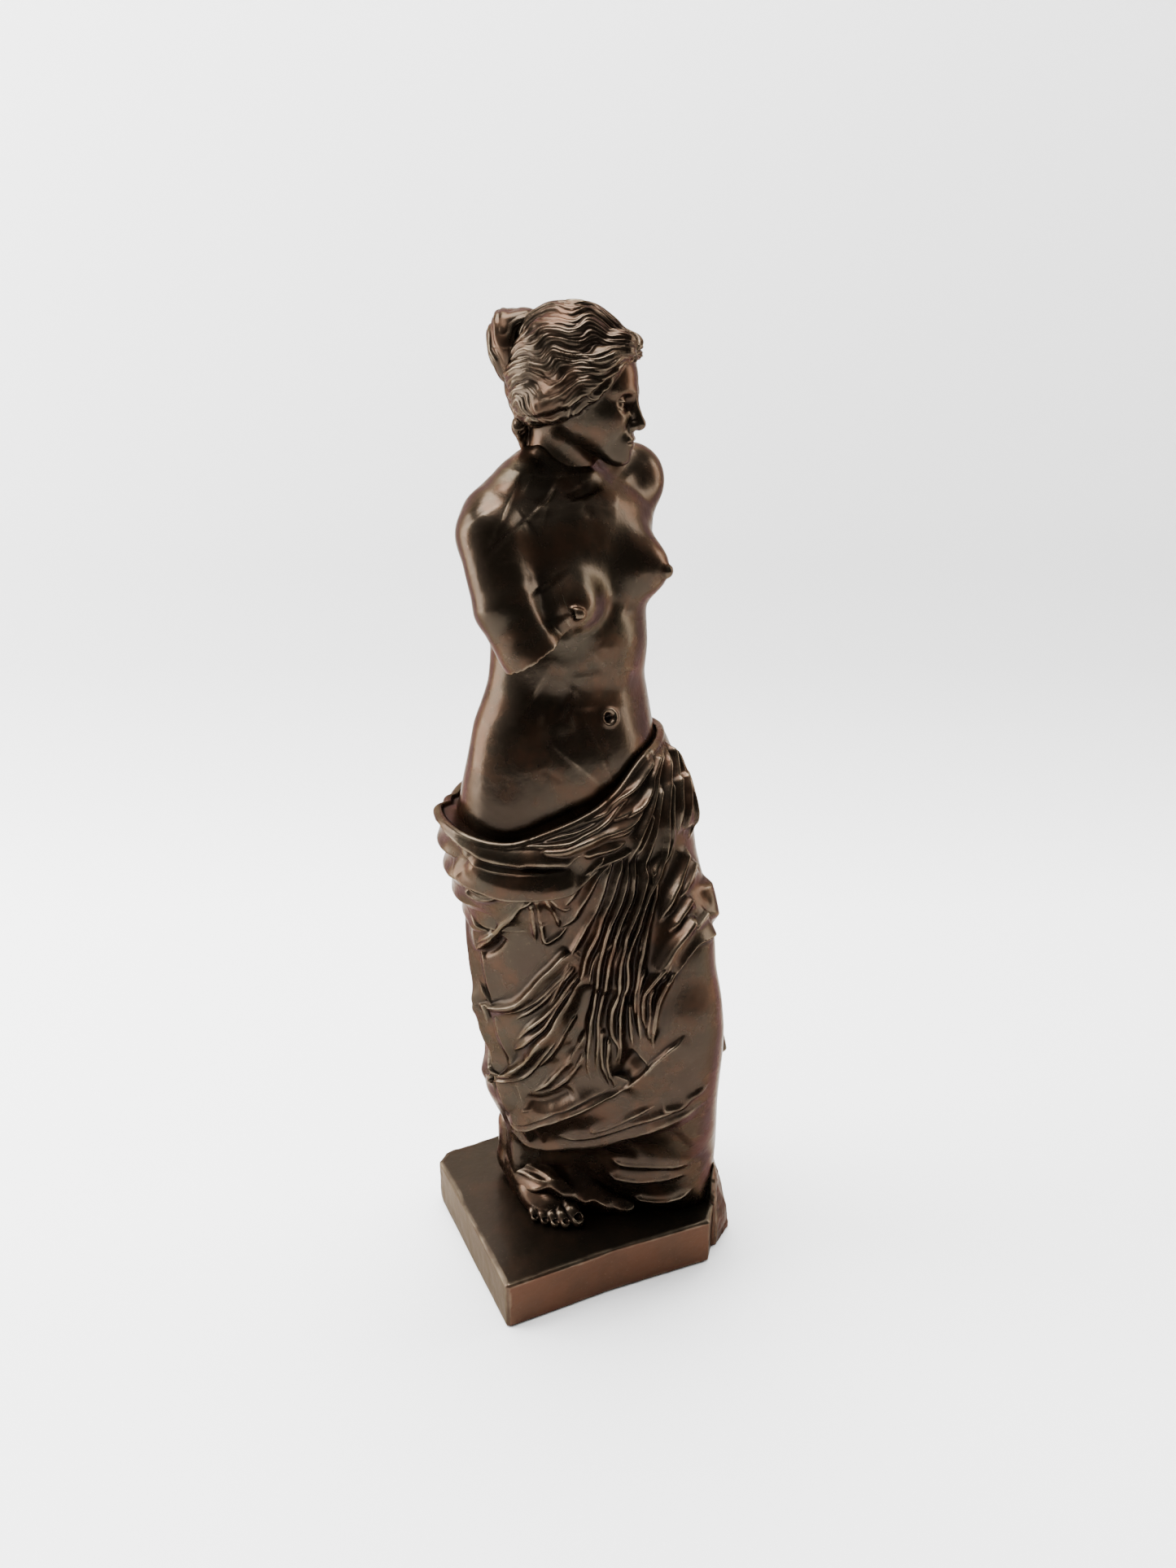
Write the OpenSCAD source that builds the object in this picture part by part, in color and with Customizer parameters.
// Armless draped figure on a thin plinth, cast in hollow bronze sections and pinned together.
// The figure faces 20 degrees to the left of the plinth's front, which is the -Y side.

/* [Whole] */
// Height over the crown of the head
total_height = 300; // [150:5:600]
// Direction the figure faces, away from the plinth's front
figure_turn = 20; // [15:1:25]

/* [Castings] */
// Wall of the drapery and torso castings
wall = 3; // [2.5:0.1:3.5]
// Wall of the head casting
head_wall = 2.5; // [2:0.1:3]
// Gap between a spigot and its socket
joint_gap = 0.1; // [0.05:0.05:0.2]

/* [Plinth] */
// Width of the plinth
plinth_w = 72; // [70:0.5:74]
// Depth of the plinth
plinth_d = 70; // [68:0.5:72]
// Thickness of the plinth
plinth_t = 16.5; // [15:0.5:18]
// Thickness of the plinth's deck and skirt
plinth_wall = 4; // [3:0.5:5]
// Height of the rock at the plinth's end
rock_h = 39; // [34:1:40]

/* [Fixings] */
// Radius of the studs that hold the figure on the plinth
stud_r = 2; // [1.5:0.1:2.5]
// Width of the square nuts across the flats
nut_w = 8; // [7:0.5:9]
// Radius of the joint pins
pin_r = 1; // [0.8:0.1:1.2]
// Radius of the plugs that close the core holes
plug_r = 2.5; // [2:0.1:3]

/* [Hidden] */

bronze = "#4a3428";
bare_bronze = "#8a6a3c";
iron = "#5c5a57";

// The plinth's centre, seen from the centre of the whole footprint
plinth_at = [-5.2, 2.7];

// Cloth round the legs, as three upright posts that it is wrapped on, in the figure's own frame:
// height, then x, y and radius of the standing leg, of the bent leg and of the cloth behind
skirt = [
    [16.5, -8, 10, 8, 17, -31, 12.5, 12, 14, 11],
    [40, -8, 9.5, 8.5, 17, -31, 13.5, 12, 13, 12],
    [50, -9.5, 6, 10.5, 16.5, -31.5, 14, 12, 12, 13],
    [62, -11, 6, 14.5, 16, -32, 14.5, 11, 12, 14],
    [71, -11, 5, 14, 15.5, -33, 14.5, 11, 11, 15],
    [80, -11, 5, 14, 15, -33.5, 15, 10, 10, 16],
    [90, -12, 4, 17, 14.5, -34, 15, 9, 9, 17],
    [100, -12.5, 3.5, 16, 14, -33, 15, 8, 8, 18],
    [110, -13, 3, 17, 14, -29.5, 15.5, 7, 7, 19],
    [119, -13, 2.5, 18, 14, -26, 17.5, 6, 7, 20],
    [128, -13.5, 2, 19, 14, -20, 20, 5, 6, 21],
    [135, -14, 1, 21.5, 14, -14, 22.5, 5, 5, 25],
    [142, -14, 0, 24.5, 14, -9, 24, 5, 4, 26.5],
    [150, -13, 0, 26, 13, -5, 26.5, 4, 3, 27.5],
    [157, -12, 0, 28.5, 12, -3, 28, 2, 2, 27.5],
    [165, -11, 0, 28, 11, -1, 27.5, 0, 2, 26.5],
    [172, -10, 0, 25, 10, 0, 26, 0, 2, 25],
    [180, -9, 0, 23, 10, 0, 24, 0, 2, 23]
];
// Height of the cloth's upper edge by direction, from the right hip round the front to the left hip
hems = [
    [-180, 162], [-158, 158.5], [-114, 167], [-79, 178], [-33, 180], [0, 179], [45, 175], [90, 168],
    [135, 165], [180, 162]
];
skirt_sides = 40;
skirt_levels = 26;

// Bare body: height, then centre x, centre y, half width and half depth
body = [
    [140, 0, 0, 31, 22], [148, 0, 0, 32.5, 23], [158, 0, 0, 33, 23.5], [170, 0, 0, 31, 22.5],
    [180, 0, -0.5, 28, 20.5], [190, 0.5, -0.5, 24.5, 18.5], [200, 1, -0.5, 23, 18],
    [210, 1, -0.5, 24.5, 18.5], [220, 0.5, -1, 25, 18.5], [230, 0, -0.5, 25.5, 18],
    [238, 0, 0.5, 26.5, 16.5], [243, 0, 1.5, 30, 14.5], [248, 0.5, 2, 31, 13], [252, 1, 2, 27, 12.5],
    [256, 1.5, 2, 17, 11.5], [258, 2, 2, 11, 10]
];
// Shoulder caps: centre and radius
shoulders = [[-29.5, 1.5, 244.5, 9.3], [27.5, 1.5, 253, 9.3]];
body_sides = 40;
// The shoulders slope down to the figure's right: height, then the rise for each mm to the left
shoulder_slope = [[225, 0], [245, 0.13], [250, 0.1], [255, 0]];
breast_r = 9;
breast_out = 7;
breasts = [[-12.5, 224], [12.5, 227]];
// The torso reaches this far down inside the cloth
sleeve_bottom = 140;
neck_x = 2;
neck_y = 1.5;
neck_z = 257;
spigot_r = 6;
spigot_l = 9;

// Neck and head in the head's own frame, where it looks along -Y:
// height, centre y, half width and half depth
head_turn = 60;
head_at = [3.2, -1];
skull = [
    [257.6, 2.5, 8.6, 9], [263, 2.5, 8.8, 9.5], [267, 0, 11, 14], [272, -1, 14.5, 17.5],
    [280, -0.5, 16, 18.5], [287, 0, 16, 18.5], [293, 1, 14, 16], [297, 1.5, 10.5, 12],
    [300, 2, 5, 6]
];
head_sides = 32;
chin_z = 264;
chin_h = 5.5;
chin_out = 4;

// The knot of hair, on the back of the head
knot_r = 8.5;
knot_l = 13;
knot_z = 286;
knot_tilt = 12;

// Right upper arm: top of the joint, and the middle of the broken end
arm_top = [-29.6, 0.6, 240.5];
arm_end = [-27.5, -9, 209];
arm_r = 8.5;
arm_spigot_r = 3.5;
arm_spigot_l = 7;

// Right foot: heel and toes in the plinth's frame
heel = [-13, 16];
toes = [-12, -17];
toe_r = 7;
instep_h = 11;
foot_gap = 0.4;

// Width of the ledge inside the cloth that the torso stands on
ledge = 4;

// Fixings under the figure, in the figure's frame
// x, y, then the direction and length of the rib that joins the lug to the wall
lugs = [[-8, 12.5, 150, 5.5], [17, -29, 0, 10.5], [14, 17, 60, 9]];
rib_t = 3;
lug_r = 5;
lug_h = 14;
nut_h = 3.2;
washer_t = 1.2;
stud_up = 12;
stud_down = 6.5;
hole_gap = 0.3;

waist_pin_z = 146;
waist_pin_turns = [35, 145, 215, 325];
skirt_plugs = [[80, 62], [100, 112]];
torso_plugs = [[90, 205]];
plug_from = 22;
flap_out = 50;

function at(table, z, k) = lookup(z, [for (r = table) [r[0], r[k]]]);

// The post that reaches furthest in direction f gives the wrapped outline its point there
function reach(p, f) = p[0] * cos(f) + p[1] * sin(f) + p[2];
function furthest(posts, f, i = 0, best = 0) =
    i == len(posts) ? posts[best]
    : furthest(posts, f, i + 1, reach(posts[i], f) > reach(posts[best], f) ? i : best);
function posts_at(z) = [
    for (k = [1, 4, 7]) [at(skirt, z, k), at(skirt, z, k + 1), at(skirt, z, k + 2)]
];
function wrapped(z, f, grow) =
    let (p = furthest(posts_at(z), f)) [p[0] + (p[2] + grow) * cos(f), p[1] + (p[2] + grow) * sin(f)];

function hem(f) = lookup(f > 180 ? f - 360 : f, hems);

// How far the bare body reaches in direction f at the waist joint
function waist_reach(f) =
    1 / norm([cos(f) / at(body, waist_pin_z, 3), sin(f) / at(body, waist_pin_z, 4)]);

// A point of the bare body, with the breasts standing out of its front
function body_ring(z, f, grow) =
    let (
        x = at(body, z, 1) + (at(body, z, 3) + grow) * cos(f),
        y = at(body, z, 2) + (at(body, z, 4) + grow) * sin(f),
        swell = [
            for (b = breasts)
                let (d = norm([x - b[0], z - b[1]])) sin(f) < 0 ? exp(-pow(d / breast_r, 2)) : 0
        ]
    )
    [x, y - breast_out * (swell[0] + swell[1]), z + lookup(z, shoulder_slope) * x];

// Skin over rings of points: a rising outside, or an inside wall going down and then the outside up
module loft(rings, ring_closed = false) {
    n = len(rings[0]);
    m = len(rings);
    last = ring_closed ? m - 1 : m - 2;
    sides = [
        for (i = [0:last], j = [0:n - 1])
            let (
                a = i * n + j,
                b = i * n + (j + 1) % n,
                c = ((i + 1) % m) * n + (j + 1) % n,
                d = ((i + 1) % m) * n + j
            )
            each [[a, d, c], [a, c, b]]
    ];
    caps = ring_closed ? [] : [[for (j = [0:n - 1]) j], [for (j = [n - 1:-1:0]) (m - 1) * n + j]];
    polyhedron(points = [for (r = rings) each r], faces = concat(sides, caps));
}

module whole() {
    scale(total_height / 300) translate([plinth_at[0], plinth_at[1], 0]) children();
}

module figure() {
    whole() rotate([0, 0, figure_turn]) children();
}

// A pin or bore that points outwards from the figure's axis
module radial(turn, z, from, length, r) {
    rotate([0, 0, turn]) translate([from, 0, z]) rotate([0, 90, 0]) cylinder(h = length, r = r, $fn = 48);
}

module at_lugs(z) {
    for (p = lugs) translate([p[0], p[1], z]) rotate([0, 0, p[2]]) children();
}

module foot_along() {
    run = toes - heel;
    translate([heel[0], heel[1], plinth_t]) rotate([0, 0, atan2(run[1], run[0])]) children();
}

module plinth() {
    color(bronze) whole() difference() {
        union() {
            linear_extrude(plinth_t) polygon([
                [-plinth_w / 2 - 0.6, -plinth_d / 2 + 1], [-plinth_w / 2 + 1, -plinth_d / 2],
                [0, -plinth_d / 2 + 1], [plinth_w / 2 - 0.5, -plinth_d / 2 - 0.8],
                [plinth_w / 2 + 7, -plinth_d / 2 + 9], [plinth_w / 2 + 8, 2],
                [plinth_w / 2 + 1, plinth_d / 2 - 4], [plinth_w / 2 - 8, plinth_d / 2],
                [-10, plinth_d / 2 + 1.5], [-plinth_w / 2 + 3, plinth_d / 2],
                [-plinth_w / 2 - 0.8, plinth_d / 2 - 4]
            ]);
            hull() {
                for (p = [[41.5, -24, 1], [43, -8, 1], [41.5, 4, 1]])
                    translate([p[0], p[1], 0]) cylinder(h = plinth_t, r = p[2], $fn = 24);
                for (p = [[41, -20, rock_h], [41.6, -10, rock_h - 6], [41, 0, rock_h - 16]])
                    translate([p[0], p[1], p[2] - 1]) sphere(r = 0.9, $fn = 16);
            }
        }
        translate([-plinth_w / 2 + plinth_wall, -plinth_d / 2 + plinth_wall + 0.5, -1])
            cube([plinth_w - 2 * plinth_wall, plinth_d - 2 * plinth_wall, plinth_t - plinth_wall + 1]);
        rotate([0, 0, figure_turn]) at_lugs(0) cylinder(h = 30, r = stud_r + hole_gap, $fn = 48);
        foot_along() translate([20, 0, -20]) cylinder(h = 30, r = stud_r + hole_gap, $fn = 48);
    }
}

function skirt_level(f, i) = plinth_t + (hem(f) - plinth_t) * i / skirt_levels;

skirt_steps = [for (j = [0:skirt_sides - 1]) 360 * j / skirt_sides];
skirt_outside = [
    for (i = [0:skirt_levels])
        [for (f = skirt_steps) let (z = skirt_level(f, i), p = wrapped(z, f, 0)) [p[0], p[1], z]]
];

module drapery_casting() {
    rim = [
        for (f = skirt_steps)
            let (z = hem(f) - 0.5, p = body_ring(z, f, -wall)) [p[0], p[1], z]
    ];
    hollow = [
        for (z = [sleeve_bottom, 120, 100, 80, 60, 40, plinth_t])
            [
                for (f = skirt_steps)
                    let (p = z == sleeve_bottom ? body_ring(z, f, -ledge) : wrapped(z, f, -wall)) [p[0], p[1], z]
            ]
    ];
    color(bronze) figure() difference() {
        union() {
            loft(concat([rim], hollow, skirt_outside), ring_closed = true);
            at_lugs(plinth_t) cylinder(h = lug_h, r = lug_r, $fn = 48);
            for (p = lugs) translate([p[0], p[1], plinth_t]) rotate([0, 0, p[2]])
                translate([0, -rib_t / 2, 0]) cube([p[3], rib_t, lug_h]);
            flap();
        }
        loft(body_rings([for (z = torso_levels) if (z < 200) z], joint_gap));
        at_lugs(plinth_t - 1) cylinder(h = stud_up + 1, r = stud_r, $fn = 48);
        waist_pins(40);
        for (p = skirt_plugs) radial(p[0], p[1], 10, 40, plug_r);
        rotate([0, 0, -figure_turn]) foot_opening();
    }
}

module waist_pins(length) {
    for (t = waist_pin_turns)
        radial(t, waist_pin_z, waist_reach(t) - wall - 0.5, length, pin_r);
}

// The loose end of the cloth, hanging beside the bent leg
module flap() {
    rotate([0, 0, -figure_turn]) hull() {
        for (p = [[33, -14, 112], [flap_out - 6, -18, 92], [flap_out - 1, -20, 70], [36, -16, 62]])
            translate(p) sphere(r = 1, $fn = 16);
    }
}

module foot_opening() {
    foot_along() translate([4, 0, 0]) rotate([0, 90, 0]) {
        translate([-toe_r + 1, 0, 0]) cylinder(h = 60, r = toe_r + foot_gap, $fn = 48);
        translate([-toe_r + 1, -toe_r - foot_gap, 0]) cube([toe_r + 5, 2 * toe_r + 2 * foot_gap, 60]);
    }
}

function body_rings(zs, grow) = [
    for (z = zs) [for (j = [0:body_sides - 1]) body_ring(z, 360 * j / body_sides, grow)]
];

torso_levels = [
    sleeve_bottom, 148, 158, 165, 170, 175, 180, 185, 190, 195, 200, 205, 210, 214, 218, 221, 224,
    227, 230, 234, 238, 241, 243, 245.5, 248, 250, 252, 254, 256, neck_z
];

module torso_casting() {
    hollow = [238, 232, 226, 220, 210, 200, 190, 180, 170, 158, 148, sleeve_bottom];
    color(bronze) figure() difference() {
        union() {
            loft(concat(body_rings(hollow, -wall), body_rings(torso_levels, 0)));
            for (c = shoulders) translate([c[0], c[1], c[2]]) sphere(r = c[3], $fn = 64);
        }
        translate([neck_x, neck_y, neck_z - spigot_l - 1])
            cylinder(h = 30, r = spigot_r + joint_gap, $fn = 48);
        arm_axis() translate([0, 0, -arm_spigot_l]) cylinder(h = 40, r = arm_spigot_r, $fn = 48);
        arm_axis() cylinder(h = 40, r = arm_r + 1.5, $fn = 64);
        waist_pins(20);
        for (p = torso_plugs) radial(p[0], p[1], 10, 20, plug_r);
        neck_pins(25);
        arm_pin(20);
    }
}

// Puts +Z along the upper arm, from the joint to the broken end
module arm_axis() {
    run = arm_end - arm_top;
    translate(arm_top) rotate([0, acos(run[2] / norm(run)), atan2(run[1], run[0])]) children();
}

module right_arm_stump() {
    run = norm(arm_end - arm_top);
    rings = [
        for (s = [0, 0.25, 0.5, 0.75, 0.95, 1])
            let (r = arm_r * (s < 0.5 ? 1 : 1 - (s - 0.5) * 0.25) - (s == 1 ? 1 : 0))
            [for (f = [0:15:345]) [r * 0.92 * cos(f), r * sin(f), 0.1 + run * s + (s > 0.9 ? 1.5 * cos(f) : 0)]]
    ];
    color(bronze) figure() difference() {
        union() {
            arm_axis() loft(rings);
            arm_axis() translate([0, 0, -arm_spigot_l + 0.5])
                cylinder(h = arm_spigot_l + 3, r = arm_spigot_r - joint_gap, $fn = 48);
        }
        arm_pin(20);
    }
}

// The pins are driven in from behind and end inside the spigots
module arm_pin(length) {
    arm_axis() translate([0, 0, -arm_spigot_l / 2]) rotate([-90, 0, 0])
        translate([0, 0, -arm_spigot_r - 1]) cylinder(h = length, r = pin_r, $fn = 48);
}

module neck_pins(length) {
    for (s = [-1, 1])
        translate([neck_x + s * 3, neck_y - 3, neck_z - 5]) rotate([-90, 0, 0])
            cylinder(h = length, r = pin_r, $fn = 48);
}

module head_frame() {
    translate([head_at[0], head_at[1], 0]) rotate([0, 0, head_turn]) children();
}

function skull_rings(zs, grow) = [
    for (z = zs)
        [
            for (j = [0:head_sides - 1])
                let (
                    f = 360 * j / head_sides,
                    near_chin = exp(-pow((z - chin_z) / chin_h, 2)) * max(0, -sin(f))
                )
                [
                    (at(skull, z, 2) + grow) * cos(f),
                    at(skull, z, 1) + (at(skull, z, 3) + grow) * sin(f) - chin_out * near_chin,
                    z
                ]
        ]
];

module head_casting() {
    inside = [294, 290, 284, 278, 272, 268, 263, neck_z + 0.1];
    outside = [neck_z + 0.1, 260, 263, 266, 269, 272, 276, 280, 284, 288, 291, 294, 296, 298, 299.3, 300];
    color(bronze) difference() {
        union() {
            whole() head_frame() loft(skull_rings(outside, 0));
            figure() translate([neck_x, neck_y, neck_z - spigot_l]) cylinder(h = spigot_l + 4, r = spigot_r, $fn = 48);
        }
        whole() head_frame() loft(skull_rings([263, 268, 272, 278, 284, 290, 294], -head_wall));
        figure() translate([neck_x, neck_y, neck_z - spigot_l - 1]) cylinder(h = 20, r = spigot_r - 2, $fn = 48);
        knot_axis() cylinder(h = 40, r = knot_r + joint_gap, $fn = 64);
        knot_axis() translate([0, 0, -8]) cylinder(h = 12, r = pin_r, $fn = 48);
        figure() neck_pins(25);
    }
}

module knot_axis() {
    whole() head_frame() translate([0, 14.5, knot_z]) rotate([-90 + knot_tilt, 0, 0]) children();
}

module chignon() {
    color(bronze) knot_axis() difference() {
        rotate_extrude($fn = 64) polygon([
            [0, 0.1], [6, 0.1], [7.6, 2], [knot_r, 5], [7.6, 8.5], [5, 10.5], [0, knot_l - 2]
        ]);
        translate([0, 0, -1]) cylinder(h = 6, r = pin_r, $fn = 48);
    }
}

module right_foot() {
    run = norm(toes - heel);
    color(bronze) whole() difference() {
        foot_along() intersection() {
            hull() {
                translate([14, 0, 0]) cylinder(h = instep_h, r = 5, $fn = 32);
                translate([22, 0, 0]) cylinder(h = instep_h - 3, r = 6.2, $fn = 32);
                translate([run - 3, 3, 0]) cylinder(h = 5, r = 4, $fn = 32);
                translate([run - 6, -3.4, 0]) cylinder(h = 4, r = 3.4, $fn = 32);
            }
            translate([0, -toe_r, 0]) cube([60, 2 * toe_r, 40]);
        }
        foot_along() translate([20, 0, -1]) cylinder(h = 8, r = stud_r, $fn = 48);
    }
}

// Pins and plugs are filed flush with the castings that they go through
module waist_joint_pins() {
    color(bare_bronze) figure() intersection() {
        waist_pins(30);
        loft(skirt_outside);
    }
}

module neck_joint_pins() {
    color(bare_bronze) figure() intersection() {
        neck_pins(25);
        loft(body_rings(torso_levels, 0));
    }
}

module arm_joint_pin() {
    color(bare_bronze) figure() intersection() {
        arm_pin(20);
        translate([shoulders[0][0], shoulders[0][1], shoulders[0][2]]) sphere(r = shoulders[0][3], $fn = 64);
    }
}

module chignon_pin() {
    color(bare_bronze) knot_axis() translate([0, 0, -4]) cylinder(h = 8.5, r = pin_r, $fn = 48);
}

module foot_screw() {
    color(iron) whole() foot_along() translate([20, 0, 0]) {
        translate([0, 0, -plinth_wall - 1]) cylinder(h = plinth_wall + 7, r = stud_r, $fn = 48);
        translate([0, 0, -plinth_wall - 3.5]) cylinder(h = 3.5, r = 4, $fn = 48);
    }
}

module plinth_studs() {
    color(iron) figure() at_lugs(stud_down) cylinder(h = plinth_t + stud_up - 0.5 - stud_down, r = stud_r, $fn = 48);
}

module plinth_washers() {
    color(iron) figure() at_lugs(plinth_t - plinth_wall - washer_t) difference() {
        cylinder(h = washer_t, r = nut_w / 2 + 1, $fn = 48);
        translate([0, 0, -1]) cylinder(h = washer_t + 2, r = stud_r + hole_gap / 2, $fn = 48);
    }
}

module plinth_nuts() {
    color(iron) figure() at_lugs(plinth_t - plinth_wall - washer_t - nut_h) difference() {
        translate([-nut_w / 2, -nut_w / 2, 0]) cube([nut_w, nut_w, nut_h]);
        translate([0, 0, -1]) cylinder(h = nut_h + 2, r = stud_r, $fn = 48);
    }
}

module core_plugs() {
    color(bare_bronze) figure() {
        intersection() {
            for (p = skirt_plugs) radial(p[0], p[1], plug_from, 20, plug_r);
            loft(skirt_outside);
        }
        intersection() {
            for (p = torso_plugs) radial(p[0], p[1], plug_from - 6, 20, plug_r);
            loft(body_rings(torso_levels, 0));
        }
    }
}

plinth();
drapery_casting();
torso_casting();
head_casting();
chignon();
right_arm_stump();
right_foot();
waist_joint_pins();
neck_joint_pins();
arm_joint_pin();
chignon_pin();
foot_screw();
plinth_studs();
plinth_washers();
plinth_nuts();
core_plugs();
